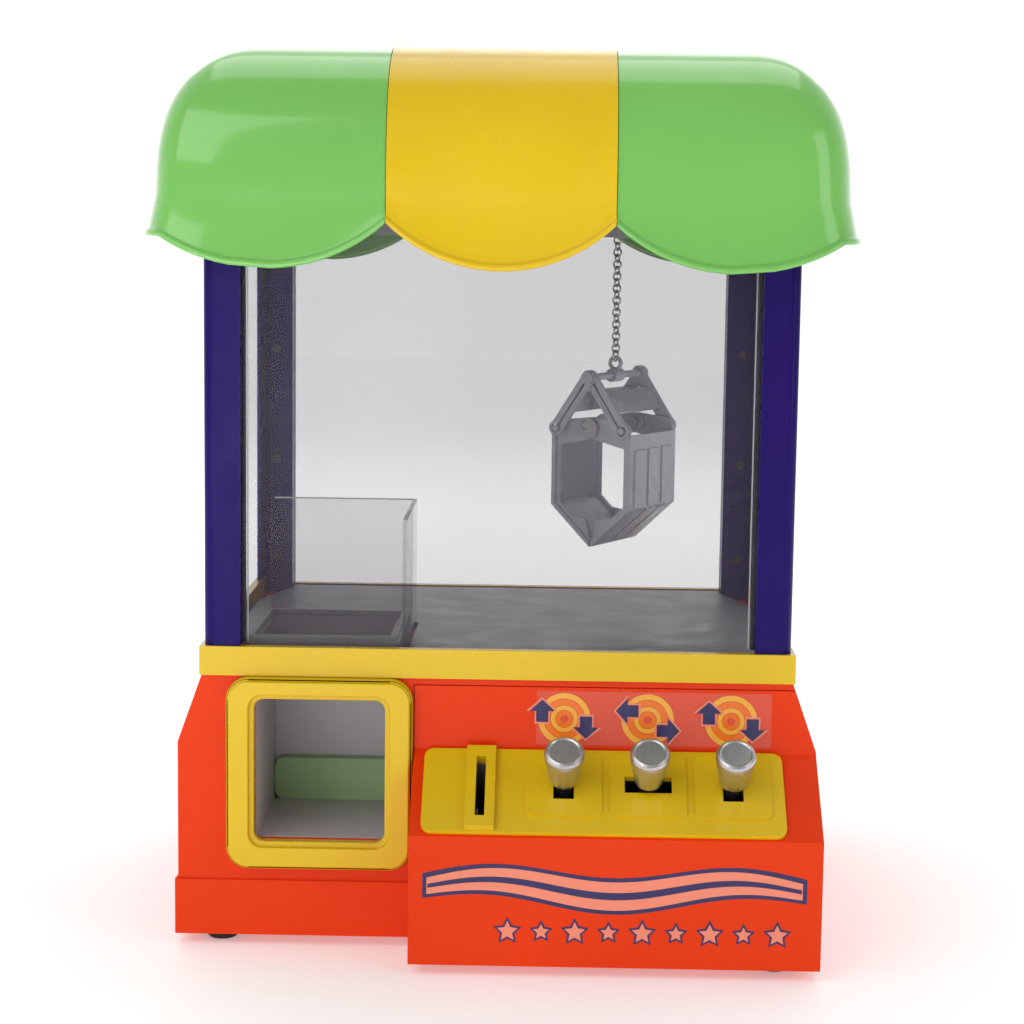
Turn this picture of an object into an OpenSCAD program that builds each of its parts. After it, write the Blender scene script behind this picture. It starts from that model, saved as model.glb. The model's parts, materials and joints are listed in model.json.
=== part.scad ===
// Tabletop claw crane: an orange base with a stick console, a glazed cabinet on purple corner
// posts, a scalloped dome canopy that hides the gantry, and a clamshell claw on a chain.
// X runs to the right, Y to the back, Z up. The origin is under the middle of the machine.

/* [Cabinet] */
// Width over the corner posts
cabinet_w = 232.8; // [224:0.1:250]
// Depth over the corner posts
cabinet_d = 196; // [184:1:230]
// Height of the deck surface above the table
deck_z = 117; // [112:1:125]
// Underside of the ceiling plate above the table
ceiling_z = 284.6; // [276:0.1:300]
// Width of a corner post's face
post_face = 14.5; // [12:0.5:17]
// Depth of a corner post's body
post_depth = 14; // [12:0.5:16]
// Length of a corner post along the cabinet's side
post_reach = 31; // [26:1:40]
// Thickness of a corner post's side leg
post_leg = 1.6; // [1.2:0.1:1.8]
// Rounding of a corner post's outer corner
post_round = 4; // [2:0.5:5]
// Thickness of the clear windows
pane_t = 1.5; // [1:0.1:2]
// Distance from the outside of a post to the front or rear pane
pane_inset = 5; // [4:0.5:5.2]

/* [Base] */
// How far the base's waist stands out beyond the posts on each side
waist_out = 10.6; // [8:0.1:14]
// Height of the waist, under the sloped shoulders
waist_z = 83; // [76:1:90]
// Height of the stepped plinth
plinth_z = 27; // [20:1:32]
// How far the plinth stands out beyond the waist
plinth_out = 1.2; // [0.6:0.1:2]
// How far the base stands out behind the rear posts
base_back = 7; // [4:0.5:12]
// Wall of the housings
wall = 2.4; // [1.8:0.1:3]
// Height of the feet under the housings
foot_h = 4.5; // [3:0.5:6]
// Radius of a foot
foot_r = 6.5; // [5:0.5:8]
// Height of the yellow deck bezel
bezel_h = 11.6; // [9:0.1:13]
// How far the bezel stands out beyond the posts
bezel_out = 1.6; // [1:0.1:2.4]

/* [Console] */
// How far the console reaches in front of the posts
console_reach = 35; // [30:1:42]
// Left edge of the console
console_left = -32.5; // [-36:0.5:-28]
// Height of the console's slope at its back
slope_back_z = 82; // [78:1:88]
// Height of the console's slope at its front
slope_front_z = 55.5; // [50:0.5:60]
// Spacing of the sticks
stick_pitch = 33; // [32:0.5:34]
// Position of the first stick
stick_first = 27; // [25:0.5:29]
// Tilt of the fore and aft sticks each way, in degrees
stick_tilt = 16; // [10:1:16]
// Top radius of a knob
knob_r = 7.8; // [6.5:0.1:8.4]
// Length of a knob
knob_len = 17.5; // [15:0.1:20]
// Radius of a stick
stick_r = 3.6; // [3:0.1:3.7]

/* [Prize chute] */
// Left edge of the chute's inside
chute_left = -96; // [-98:0.5:-92]
// Width of the chute's inside
chute_w = 52; // [46:1:53]
// Depth of the chute's inside
chute_d = 66; // [58:1:72]
// Height of the chute's floor
chute_floor = 44; // [38:1:50]
// Height of the raised rim above the deck
rim_h = 8; // [5:0.5:10]
// Top of the clear guard above the deck
guard_h = 55.5; // [45:0.5:62]
// Width of the yellow door frame's border
frame_border = 11; // [9:0.5:12]

/* [Canopy] */
// Height of the canopy's rear crown
crown_z = 360; // [352:1:372]
// Step down from the rear crown to the front crown
crown_step = 2; // [1:0.5:4]
// Overhang beyond the posts at the sides, over the lip
canopy_side = 22.4; // [19:0.1:25]
// Overhang beyond the posts at the front and rear, over the lip
canopy_over = 26.5; // [20:0.5:32]
// Height of the hem's notches
hem_z = 289; // [287:0.5:292]
// Depth of a scallop
scallop = 17.5; // [12:0.5:20]
// Half the width of the yellow panel
centre_half = 43.3; // [38:0.1:50]
// Thickness of the canopy shells
shell_t = 2; // [1.4:0.1:2.6]
// How far the hem's lip stands out
lip = 1.4; // [0.8:0.1:2]
// How far the sides flare out from the dome's spring to the hem
flare = 3; // [1:0.1:4]
// How far the yellow panels stand proud of the green ones
proud = 0.8; // [0.4:0.1:1.2]

/* [Gantry] */
// Radius of the guide rods and rails
rod_r = 3; // [2.5:0.1:3.4]
// Spacing of the two rails
rail_gap = 198; // [190:1:202]
// Spacing of the bridge's two rods
rod_gap = 52; // [48:1:56]
// Radius of the winch drum
drum_r = 8; // [6:0.5:9]
// Radius of the bridge wheels
wheel_r = 6; // [5:0.5:7]

/* [Claw] */
// Place of the chain to the right of the middle
claw_x = 48; // [30:1:60]
// Place of the chain behind the front of the posts
claw_y = 115; // [100:1:120]
// Height of the jaws' pivot
pivot_z = 202.2; // [196:0.1:208]
// Turn of the claw about its chain, in degrees
claw_turn = -30; // [-45:1:45]
// Half the width across the closed jaws
jaw_half = 19.6; // [17:0.1:21]
// Length of the jaws along their pivot
jaw_len = 42; // [36:1:46]
// Drop of a jaw's side wall below the pivot
jaw_side = 34.5; // [28:0.5:38]
// Drop of the jaws' closing edge below the pivot
jaw_drop = 52; // [46:0.5:56]
// Thickness of a jaw's wall
jaw_t = 1.7; // [1.2:0.1:2.2]
// Height of the top rod above the pivot
rod_rise = 22; // [20:0.5:25]
// Radius of a chain ring
ring_r = 1.75; // [1.6:0.05:2]
// Radius of the chain's wire
wire_r = 0.42; // [0.35:0.01:0.45]
// Height of the chain's upper end
chain_top = 320; // [308:1:322]

/* [Hidden] */
$fn = 64;

eps = 0.01;
gap = 0.3;
fit = 0.05;
half_w = cabinet_w / 2;
mid_y = (cabinet_d + canopy_over + proud - console_reach) / 2;
bezel_top = deck_z + 5;
bezel_low = bezel_top - bezel_h;
shelf_z = deck_z - 2.6;
deck_t = 2.5;
waist_half = half_w + waist_out;
plinth_half = waist_half + plinth_out;
pane_x = half_w - post_leg - pane_t - 0.2;
deck_half = pane_x - gap;
post_in = half_w - post_face;
front_pane_y = pane_inset + pane_t / 2;
rear_pane_y = cabinet_d - pane_inset - pane_t / 2;
groove = 4;
pane_half = post_in + groove - gap;
window_screw_z = [132.5, 178, 230];
window_screw_x = half_w - 7;
plate_z = foot_h + 3;
screw_r = 1.5;
boss_r = 4;
pane_top = ceiling_z - gap;

slope_run = console_reach - 1;
slope_rise = slope_back_z - slope_front_z;
slope_a = atan2(slope_rise, slope_run);
slope_len = norm([slope_run, slope_rise]);
panel_t = 2;
pad_t = 0.8;
panel_left = console_left + 4.5;
panel_right = waist_half - 14;
pad_w = stick_pitch - 3;
pad_len = 31;
stick_s = slope_len * 0.43;
pivot_l = -10;
knob_z = 5.5;
bore_len = 2.5;
slot_w = 2 * stick_r + 0.8;
slot_len = 15;
side_slot_len = 18.4;
stick_xs = [for (i = [0 : 2]) stick_first + i * stick_pitch];
pin_r = 1.5;
pin_half = 8.4;
ear_in = 6.5;
ear_t = 2;
coin_x = -5.4;
coin_slot_w = 3.7;
coin_bar_w = 11.5;
coin_len = 28.4;
coin_box_len = coin_len + 3.2;
coin_depth = 26;
lever_x = coin_x - coin_slot_w / 2 - 6;
lever_r = 1.2;
lug_y = 6;

batt_r = 16.4;
batt_len = 60;
batt_pitch = 35;
batt_x = 5;
batt_y = 116;
box_x = [batt_x - batt_r - 3, batt_x + 2 * batt_pitch + batt_r + 3];
box_y = [batt_y - 4, batt_y + batt_len + 4];
board_z = plate_z + 12;
board = [[0, 40], [90, 95]];
plate_in = 0.4;
speaker_at = [-60, 130];
foot_at = [[-plinth_half + 17.5, 12], [plinth_half - 17.5, -console_reach + 18],
    [-plinth_half + 17.5, cabinet_d - 12], [plinth_half - 17.5, cabinet_d - 12]];
base_boss_at = [[-half_w + 21, 95], [half_w - 8.5, 95], [-60, cabinet_d - 6], [40, cabinet_d - 6]];
console_boss_at = [[console_left + 10, -20], [waist_half - 13, -4]];

chute_right = chute_left + chute_w;
chute_wall = 2;
chute_front = 3 + gap;
chute_back = chute_front + chute_d;
chute_mid = (chute_left + chute_right) / 2;
mouth_front = 12;
rim_out = 5;
guard_x = chute_right + rim_out + 1.6;
guard_y = chute_back + rim_out + 3;
guard_t = 1.6;
guard_top = deck_z + guard_h;
guard_low = deck_z - 1.5;
guard_left = chute_left - rim_out + 2;
door_low = chute_floor;
door_high = door_low + 57.6;
frame_w = chute_w + 2 * frame_border;
frame_low = door_low - frame_border;
frame_high = door_high + 8.6;
frame_t = 7;

canopy_half = half_w + canopy_side - lip - flare;
canopy_front = canopy_over - lip;
crown_half = 87;
crown_depth = cabinet_d / 2 - 33;
spring_z = 300;
dome_pow = 2.5;
corner_pow = 5;
seam = 0.35;
half_depth = cabinet_d / 2;
dome_steps = 9;
corner_steps = 10;
side_steps = 12;
front_steps = 7;
centre_steps = 16;

rail_z = ceiling_z + 17.6;
rail_x = rail_gap / 2;
plate_top = ceiling_z + 5.6;
arm_low = plate_top - 2.6;
arm_half = canopy_half + flare * (spring_z - plate_top) / (spring_z - hem_z) - shell_t - 0.02;
opening_x = 80;
opening_y = 22;
truck_half = 34;
truck_in = rail_x - 7;
rod_y = [claw_y - rod_gap / 2, claw_y + rod_gap / 2];
carriage_x = [claw_x - 13, claw_x + 24];
rod_z = rail_z + 4;
floor_z = rod_z - 4.6;
axle_r = 2;
axle_y = claw_y - 20;
axle_z = plate_top + wheel_r + gap;
wheel_x = truck_in - 3;
drum_x = claw_x + drum_r + ring_r + wire_r + gap;
drum_z = chain_top - 2;
cheek_y = 6.4;
cheek_t = 2.6;
roller_r = 6;
roller_z = rod_z + rod_r + roller_r + gap;

jaw_in = jaw_half - jaw_t;
jaw_slant = atan2(jaw_drop - jaw_side, jaw_half);
closing_gap = 0.35;
shoulder = [jaw_half - 4, -0.5];
ear_t2 = 1.6;
ear_low = jaw_len / 2 - ear_t2;
rib_t = 0.7;
link_t = 1.6;
level_right = jaw_len / 2 + gap;
level_left = level_right + link_t + gap;
rod_half = level_left + link_t + 0.3;
claw_pin_r = 1.6;
stub_r = 1.4;
loose = 0.8;
eyelet_r = 2.6;
eyelet_wire = 0.9;
eyelet_w = rod_rise + 5.2;
ring_play = 0.04;
join_r = 2.3;
join_z = pivot_z + eyelet_w + eyelet_r - eyelet_wire - wire_r - gap + join_r;
first_ring_z = join_z + join_r - 2 * wire_r - ring_play + ring_r;
ring_pitch = 2 * (ring_r - wire_r) - ring_play;
ring_count = floor((chain_top - ring_r - first_ring_z) / ring_pitch) + 1;

orange = [0.93, 0.27, 0.06];
yellow = [0.93, 0.78, 0.16];
green = [0.46, 0.78, 0.36];
purple = [0.19, 0.09, 0.42];
grey = [0.5, 0.5, 0.52];
silver = [0.66, 0.66, 0.69];
dark = [0.12, 0.12, 0.13];
steel = [0.75, 0.75, 0.77];
clear = [0.85, 0.9, 0.95, 0.3];

// Cabinet coordinates, with Y = 0 on the front of the posts, moved onto the origin
module place() translate([0, -mid_y, 0]) children();

// An outline in X and Z, drawn through from y0 to y1
module through_y(y0, y1) translate([0, y1, 0]) rotate([90, 0, 0]) linear_extrude(y1 - y0) children();

// An outline in Y and Z, drawn through from x0 to x1
module through_x(x0, x1) translate([x0, 0, 0]) rotate([90, 0, 90]) linear_extrude(x1 - x0) children();

// A box between two corners
module block(low, high) translate(low) cube(high - low);

// A round bar along X or Y
module bar_x(x0, x1, y, z, r) translate([x0, y, z]) rotate([0, 90, 0]) cylinder(h = x1 - x0, r = r);
module bar_y(x, y0, y1, z, r) translate([x, y1, z]) rotate([90, 0, 0]) cylinder(h = y1 - y0, r = r);

// A rectangle with round corners, centred
module round_rect(w, h, r) {
    square([w - 2 * r, h], center = true);
    square([w, h - 2 * r], center = true);
    for (x = [-1, 1], y = [-1, 1]) translate([x * (w / 2 - r), y * (h / 2 - r)]) circle(r);
}

// Base and console ---------------------------------------------------------------------------

// Front view of the base's outside, drawn in by e
function base_face(e) = let (p = plinth_half - e, w = waist_half - e, t = half_w + 1 - e) [
    [-p, foot_h], [p, foot_h], [p, plinth_z], [w, plinth_z + plinth_out], [w, waist_z],
    [t, bezel_low - gap], [-t, bezel_low - gap], [-w, waist_z], [-w, plinth_z + plinth_out],
    [-p, plinth_z]];

// Side view of the base's outside, drawn in by e, from front y0
function base_side(e, y0) = let (b = cabinet_d + base_back - e) [
    [y0, foot_h], [b + plinth_out, foot_h], [b + plinth_out, plinth_z], [b, plinth_z + plinth_out],
    [b, waist_z], [cabinet_d + 1 - e, bezel_low - gap], [y0, bezel_low - gap]];

// The shelf under the deck, inside the bezel
module shelf(e, z0, z1) block([-deck_half - 2 + e, 3 + e, z0], [deck_half + 2 - e, cabinet_d - 3 - e, z1]);

module base_housing() place() color(orange) difference() {
    union() {
        difference() {
            union() {
                intersection() {
                    through_y(0, cabinet_d + base_back + plinth_out) polygon(base_face(0));
                    through_x(-plinth_half, plinth_half) polygon(base_side(0, 0));
                }
                block([-plinth_half, -plinth_out, foot_h], [console_left - gap, 1, plinth_z]);
                shelf(0, bezel_low - gap - eps, shelf_z);
            }
            intersection() {
                through_y(wall, cabinet_d + base_back) polygon([
                    for (p = base_face(wall)) [p.x, p.y > foot_h ? min(p.y, bezel_low - wall) : 0]]);
                through_x(-plinth_half, plinth_half) polygon([
                    for (p = base_side(wall, wall)) [p.x, p.y > foot_h ? min(p.y, bezel_low - wall) : 0]]);
            }
        }
        for (p = base_boss_at) boss(p, bezel_low - wall + 1);
    }
    for (p = base_boss_at) boss_bore(p);
    block([console_left - gap, -5, 0], [plinth_half + 1, wall + eps, bezel_low - gap - wall]);
    block([console_left - gap, -5, 0], [plinth_half + 1, wall + 8, waist_z - 20]);
    block([chute_left - chute_wall - gap, wall + 0.2, bezel_low - 10],
        [chute_right + chute_wall + gap, chute_back + chute_wall + gap, shelf_z + 1]);
    block([chute_right + 12, 20, bezel_low - 10], [deck_half - 14, cabinet_d - 20, shelf_z + 1]);
    block([chute_left, -5, door_low], [chute_right, wall + eps, door_high]);
}

// A screw boss that stands on the base plate, and the bore for its screw
module boss(p, top) translate([p.x, p.y, plate_z + 0.02]) cylinder(h = top - plate_z, r = boss_r);
module boss_bore(p) translate([p.x, p.y, 0]) cylinder(h = foot_h + 10, r = screw_r + fit);

// Side view of the console, drawn in by e
function console_side(e) = let (top = bezel_low - gap - wall - 0.2) [
    [wall + 8, foot_h], [-console_reach + e, foot_h], [-console_reach + e, slope_front_z - e * 0.35],
    [-1 + e * 0.2, slope_back_z - e * 1.05], [-1 + e, slope_back_z - e], [-1 + e, top - e], [wall + 8, top - e]];

module console_outline(e) intersection() {
    through_x(console_left, plinth_half) polygon(console_side(e));
    through_y(-console_reach - 1, wall + 9) polygon([
        [console_left + e, 0], [waist_half - e, 0], [waist_half - e, waist_z],
        [half_w + 1 - e, bezel_low - gap], [console_left + e, bezel_low - gap]]);
}

module console_housing() place() color(orange) difference() {
    union() {
        difference() {
            console_outline(0);
            console_outline(wall);
            translate([0, 0, -20]) intersection() {
                console_outline(wall);
                block([-waist_half, -console_reach - 1, 0], [waist_half, wall + 9, 40]);
            }
        }
        intersection() {
            console_outline(1);
            for (p = console_boss_at) boss(p, slope_back_z);
        }
    }
    for (p = console_boss_at) boss_bore(p);
    block([console_left + wall, wall - 1, 0], [waist_half - wall, wall + 9, bezel_low]);
    block([console_left - 1, wall - gap, waist_z - 20.3], [waist_half + 1, wall + 9, bezel_low]);
    on_slope(stick_xs[1], stick_s) cube([2 * stick_pitch + pad_w - 6, 25, 12], center = true);
    on_slope(coin_x, slope_len / 2) cube([coin_bar_w - 2, coin_box_len + 2 * gap, 12], center = true);
}

// Places children on the console's slope: x along the console, s down the slope, z out of it
module on_slope(x, s)
    translate([x, -1 - s * cos(slope_a), slope_back_z - s * sin(slope_a)]) rotate([slope_a, 0, 0]) children();

module coin_cut(h) translate([0, 0, h / 2 - 1]) cube([coin_slot_w, coin_len + 0.8, h + 2], center = true);

module control_panel() place() color(yellow) difference() {
    union() {
        on_slope((panel_left + panel_right) / 2, slope_len / 2)
            linear_extrude(panel_t) round_rect(panel_right - panel_left, slope_len - 2.4, 4);
        for (x = stick_xs) on_slope(x, stick_s) linear_extrude(panel_t + pad_t) round_rect(pad_w, pad_len, 3);
    }
    for (i = [0 : 2]) on_slope(stick_xs[i], stick_s) translate([0, 0, -1]) linear_extrude(panel_t + 3)
        square(i == 1 ? [side_slot_len, slot_w] : [slot_w, slot_len], center = true);
    on_slope(coin_x, slope_len / 2) coin_cut(panel_t + 4);
}

module coin_slot_bar() place() color(yellow) on_slope(coin_x, slope_len / 2) difference() {
    translate([0, 0, panel_t]) linear_extrude(3) square([coin_bar_w, slope_len - 3.4], center = true);
    coin_cut(panel_t + 4);
}

// A narrow chute under the slot, with two lugs that carry the lever's pin
module coin_chute() place() color(grey) on_slope(coin_x, slope_len / 2) difference() {
    union() {
        translate([-coin_slot_w / 2 - 1.6, -coin_box_len / 2, -coin_depth])
            cube([coin_slot_w + 3.2, coin_box_len, coin_depth - 0.02]);
        for (y = [-lug_y - 2, lug_y]) translate([lever_x - coin_x - 3, y, -coin_depth - 3])
            cube([coin_x - lever_x + 3 - coin_slot_w / 2 - 1, 2, 8]);
    }
    translate([-coin_slot_w / 2, -coin_len / 2, -coin_depth - 1]) cube([coin_slot_w, coin_len, coin_depth + 2]);
    translate([-coin_slot_w / 2 - 3, -4, -20]) cube([4, 8, 8]);
    translate([lever_x - coin_x, 0, -coin_depth]) rotate([90, 0, 0])
        cylinder(h = coin_box_len, r = lever_r + fit, center = true);
}

// A lever on a pin beside the chute. Its finger reaches into the slot for a coin to push aside
module coin_lever() place() color(steel) on_slope(lever_x, slope_len / 2) {
    translate([-1, -4, -coin_depth]) cube([2, 8, 14]);
    translate([1 - eps, -3, -15]) cube([5.6, 6, 1.2]);
    translate([0, 0, -coin_depth]) rotate([90, 0, 0]) cylinder(h = 20, r = lever_r, center = true);
}

// Sticks -------------------------------------------------------------------------------------

module stick(x, turn) place() color(dark) on_slope(x, stick_s) rotate([0, 0, turn]) {
    translate([0, 0, pivot_l - 8]) cylinder(h = knob_z + bore_len - 0.1 - pivot_l + 8, r = stick_r);
    translate([0, 0, pivot_l]) rotate([0, 90, 0]) cylinder(h = 2 * pin_half, r = pin_r, center = true);
}

// A tapered knob with a rounded rim, bored for its stick
module knob(x) place() color(steel) on_slope(x, stick_s) translate([0, 0, knob_z]) difference() {
    rotate_extrude() polygon([[0, 0], [knob_r - 2.8, 0], [knob_r - 2.2, 0.8], [knob_r - 0.3, knob_len - 5],
        [knob_r, knob_len - 3.4], [knob_r, knob_len - 1.6], [knob_r - 0.5, knob_len - 0.5],
        [knob_r - 1.5, knob_len], [knob_r - 2.2, knob_len - 0.4], [0, knob_len - 0.4]]);
    translate([0, 0, -1]) cylinder(h = bore_len + 1, r = stick_r + 0.02);
}

module depth_stick() stick(stick_xs[0], 0);
module side_stick() stick(stick_xs[1], 90);
module lift_stick() stick(stick_xs[2], 0);
module depth_knob() knob(stick_xs[0]);
module side_knob() knob(stick_xs[1]);
module lift_knob() knob(stick_xs[2]);

module stick_brackets() place() color(dark) for (i = [0 : 2])
    on_slope(stick_xs[i], stick_s) rotate([0, 0, i == 1 ? 90 : 0]) difference() {
        union() {
            translate([0, 0, -1]) cube([2 * (ear_in + ear_t), 22, 2 - 0.02], center = true);
            for (s = [-1, 1]) translate([s * (ear_in + ear_t / 2), 0, -7.5]) cube([ear_t, 8, 15], center = true);
        }
        translate([0, 0, -1]) cube([slot_w, i == 1 ? side_slot_len : slot_len, 4], center = true);
        translate([0, 0, pivot_l]) rotate([0, 90, 0]) cylinder(h = 40, r = pin_r + fit, center = true);
    }

module stick_springs() place() color(steel) for (i = [0 : 2], s = [-1, 1])
    on_slope(stick_xs[i], stick_s) rotate([0, 0, i == 1 ? 90 : 0])
        translate([s * (ear_in - gap - 0.5), 0, pivot_l]) rotate([0, 90, 0])
            rotate_extrude() translate([2.7, 0]) circle(0.5);

// Base plate and what it carries ---------------------------------------------------------------

module base_plate() place() color(orange) difference() {
    union() {
        block([-plinth_half + wall + plate_in, wall + plate_in, foot_h],
            [plinth_half - wall - plate_in, cabinet_d + base_back + plinth_out - wall - plate_in - 1.4, plate_z]);
        block([console_left + wall + plate_in, -console_reach + wall + plate_in, foot_h],
            [waist_half - wall - plate_in, wall + plate_in + eps, plate_z]);
        for (x = [board[0].x + 4, board[1].x - 4], y = [board[0].y + 4, board[1].y - 4])
            translate([x, y, plate_z - eps]) cylinder(h = board_z - plate_z, r = 3);
    }
    block([box_x[0] + 4, box_y[0] + 2, 0], [box_x[1] - 4, box_y[1] - 6, 20]);
    block([console_left - gap, 0, 0], [console_left + wall + gap, wall + 8 + gap, 20]);
    block([waist_half - wall - gap, 0, 0], [plinth_half + 1, wall + 8 + gap, 20]);
    for (p = foot_at) translate([p.x, p.y, foot_h - 1]) cylinder(h = 2.5, r = foot_r + fit);
    for (p = concat(base_boss_at, console_boss_at)) translate([p.x, p.y, 0]) cylinder(h = 20, r = screw_r + 0.1);
    for (a = [0 : 60 : 300], r = [0, 6, 12]) translate([speaker_at.x + r * cos(a), speaker_at.y + r * sin(a), 0])
        cylinder(h = 20, r = 1.2);
}

module rubber_feet() place() color(dark) for (p = foot_at) translate([p.x, p.y, 0])
    rotate_extrude() polygon([[0, 0], [foot_r - 1, 0], [foot_r, 1.2], [foot_r, foot_h + 1.4], [0, foot_h + 1.4]]);

module base_screws() place() color(steel) for (p = concat(base_boss_at, console_boss_at)) translate([p.x, p.y, 0]) {
    translate([0, 0, foot_h - 1.6]) cylinder(h = 1.6, r = 2.8);
    translate([0, 0, foot_h - eps]) cylinder(h = 9, r = screw_r);
}

module battery_box() place() color(dark) difference() {
    block([box_x[0], box_y[0], plate_z + 0.02], [box_x[1], box_y[1], plate_z + 2 * batt_r + 5]);
    block([box_x[0] + 2, box_y[0] + 2, 0], [box_x[1] - 2, box_y[1] - 2, plate_z + 2 * batt_r + 3]);
}

module batteries() place() color(silver) for (i = [0 : 2]) {
    bar_y(batt_x + i * batt_pitch, batt_y - 1, batt_y + batt_len, plate_z + batt_r + 1, batt_r);
    bar_y(batt_x + i * batt_pitch, batt_y + batt_len - eps, batt_y + batt_len + 1.8, plate_z + batt_r + 1, 4.5);
}

// The door's three tongues hook over the plate
module battery_door() place() color(orange) difference() {
    union() {
        block([box_x[0] + 4 + gap, box_y[0] + 2 + gap, foot_h], [box_x[1] - 4 - gap, box_y[1] - 6 - gap, foot_h + 2.4]);
        for (i = [0 : 2]) let (x = batt_x + i * batt_pitch) {
            block([x - 5, box_y[1] - 12, foot_h], [x + 5, box_y[1] - 6 - gap, plate_z + 0.7]);
            block([x - 5, box_y[1] - 12, plate_z + 0.02], [x + 5, box_y[1] - 3, plate_z + 0.7]);
        }
    }
    translate([box_x[0] + 10, box_y[0] + 8, 0]) cylinder(h = 20, r = screw_r);
}

module circuit_board() place() {
    color([0.1, 0.4, 0.2]) block([board[0].x, board[0].y, board_z], [board[1].x, board[1].y, board_z + 1.6]);
    color(dark) {
        block([20, 55, board_z + 1.6 - eps], [40, 70, board_z + 4]);
        block([55, 60, board_z + 1.6 - eps], [75, 68, board_z + 7]);
        for (x = [10, 50, 80]) translate([x, 80, board_z + 1.6 - eps]) cylinder(h = 9, r = 3);
    }
}

module speaker() place() color(dark) translate([speaker_at.x, speaker_at.y, plate_z]) {
    cylinder(h = 4, r = 22);
    translate([0, 0, 4 - eps]) cylinder(h = 6, r1 = 16, r2 = 10);
    translate([0, 0, 10 - 2 * eps]) cylinder(h = 7, r = 11);
}

// Deck and prize chute -------------------------------------------------------------------------

module deck_bezel() place() color(yellow) difference() {
    block([-half_w - bezel_out, -bezel_out, bezel_low], [half_w + bezel_out, cabinet_d + bezel_out, bezel_top]);
    difference() {
        block([-deck_half - 2 - fit, 3 - fit, 0], [deck_half + 2 + fit, cabinet_d - 3 + fit, bezel_top + 1]);
        for (s = [-1, 1]) block([s * half_w - (s > 0 ? post_face : 0), 0, bezel_low - 1],
            [s * half_w + (s < 0 ? post_face : 0), post_depth - 0.5, bezel_top + 2]);
    }
    for (s = [-1, 1]) block([s * half_w - (s > 0 ? post_face + gap : gap), -eps + cabinet_d - post_depth, shelf_z],
        [s * half_w + (s < 0 ? post_face + gap : gap), cabinet_d + gap, bezel_top + 1]);
    for (s = [-1, 1]) block([s > 0 ? post_in - 0.1 : -deck_half - 2.1, 2.9, bezel_low - 1],
        [s > 0 ? deck_half + 2.1 : 0.1 - post_in, post_depth, shelf_z + 0.05]);
    block([-post_in - 1, cabinet_d - 5, deck_z], [post_in + 1, cabinet_d + bezel_out + 1, bezel_top + 1]);
}

deck_pts = [[-deck_half, post_depth + gap], [-deck_half, cabinet_d - 52], [-post_in + 0.5, cabinet_d - post_depth - gap],
    [-post_in + 0.5, cabinet_d - pane_inset - 3], [post_in - 0.5, cabinet_d - pane_inset - 3],
    [post_in - 0.5, cabinet_d - post_depth - gap], [deck_half, cabinet_d - 52], [deck_half, post_depth + gap],
    [post_in - 0.5, post_depth + gap], [post_in - 0.5, 3.2], [-post_in + 0.5, 3.2], [-post_in + 0.5, post_depth + gap]];

module rim_box(e, z0, z1) block([chute_left - e, mouth_front - e, z0], [chute_right + e, chute_back + e, z1]);

module deck_tray() place() color(grey) difference() {
    union() {
        translate([0, 0, deck_z - deck_t]) linear_extrude(deck_t) polygon(deck_pts);
        rim_box(rim_out, deck_z - eps, deck_z + rim_h - 1.2);
        rim_box(rim_out - 1.2, deck_z, deck_z + rim_h);
    }
    rim_box(0, 0, deck_z + rim_h + 1);
    translate([0, 0, deck_z + rim_h - 2.4]) rim_box(1.6, 0, 10);
    block([guard_x - guard_t / 2 - fit, mouth_front - rim_out, deck_z - 1.5],
        [guard_x + guard_t / 2 + fit, guard_y + guard_t / 2 + fit, deck_z + 1]);
    block([chute_left - rim_out + 1, guard_y - guard_t / 2 - fit, deck_z - 1.5],
        [guard_x, guard_y + guard_t / 2 + fit, deck_z + 1]);
    translate([guard_x - 1, 60, deck_z - deck_t - 1]) cube([2, 30, 10]);
}

module chute_guard() place() color(clear) {
    through_x(guard_x - guard_t / 2, guard_x + guard_t / 2) polygon([
        [mouth_front - rim_out + 1, deck_z - 1.5 + 0.02], [guard_y + guard_t / 2, deck_z - 1.5 + 0.02],
        [guard_y + guard_t / 2, guard_top], [mouth_front - rim_out + 2.4, guard_top],
        [mouth_front - rim_out + 1, guard_top - 1.4]]);
    through_y(guard_y - guard_t / 2, guard_y + guard_t / 2) difference() {
        translate([chute_left - rim_out + 2, deck_z - 1.5 + 0.02])
            square([guard_x - chute_left + rim_out - 2, guard_h + 1.5 - 0.02]);
        translate([chute_left - rim_out + 2 - 1, guard_top - 2.4]) difference() {
            square([3.4, 3.4]);
            translate([3.4, 0]) circle(2.4);
        }
    }
}

module prize_chute() place() color(grey) difference() {
    block([chute_left - chute_wall, chute_front, chute_floor - chute_wall],
        [chute_right + chute_wall, chute_back + chute_wall, deck_z - deck_t - 0.02]);
    block([chute_left, 0, chute_floor], [chute_right, chute_back, deck_z + 10]);
}

module landing_pad() place() color(green) through_y(chute_back - 6, chute_back - 0.02) intersection() {
    translate([chute_mid, chute_floor + 9 + 0.02]) round_rect(chute_w - 0.6, 18, 4);
    translate([chute_left, chute_floor + 0.02]) square([chute_w, 30]);
}

module prize_door_frame() place() color(yellow) translate([chute_mid, 0, (frame_low + frame_high) / 2])
    rotate([90, 0, 0]) difference() {
        union() {
            linear_extrude(frame_t - 1.5) round_rect(frame_w, frame_high - frame_low, 9);
            translate([0, 0, frame_t - 1.5 - eps]) linear_extrude(1.5) round_rect(frame_w - 2.4, frame_high - frame_low - 2.4, 7.8);
        }
        door_mid = (door_low + door_high) / 2 - (frame_low + frame_high) / 2;
        translate([0, door_mid, -1]) linear_extrude(20) round_rect(chute_w, door_high - door_low, 4);
        translate([0, door_mid, frame_t - 2.5]) linear_extrude(20) round_rect(chute_w + 4, door_high - door_low + 4, 5.5);
    }

// Cabinet --------------------------------------------------------------------------------------

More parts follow.
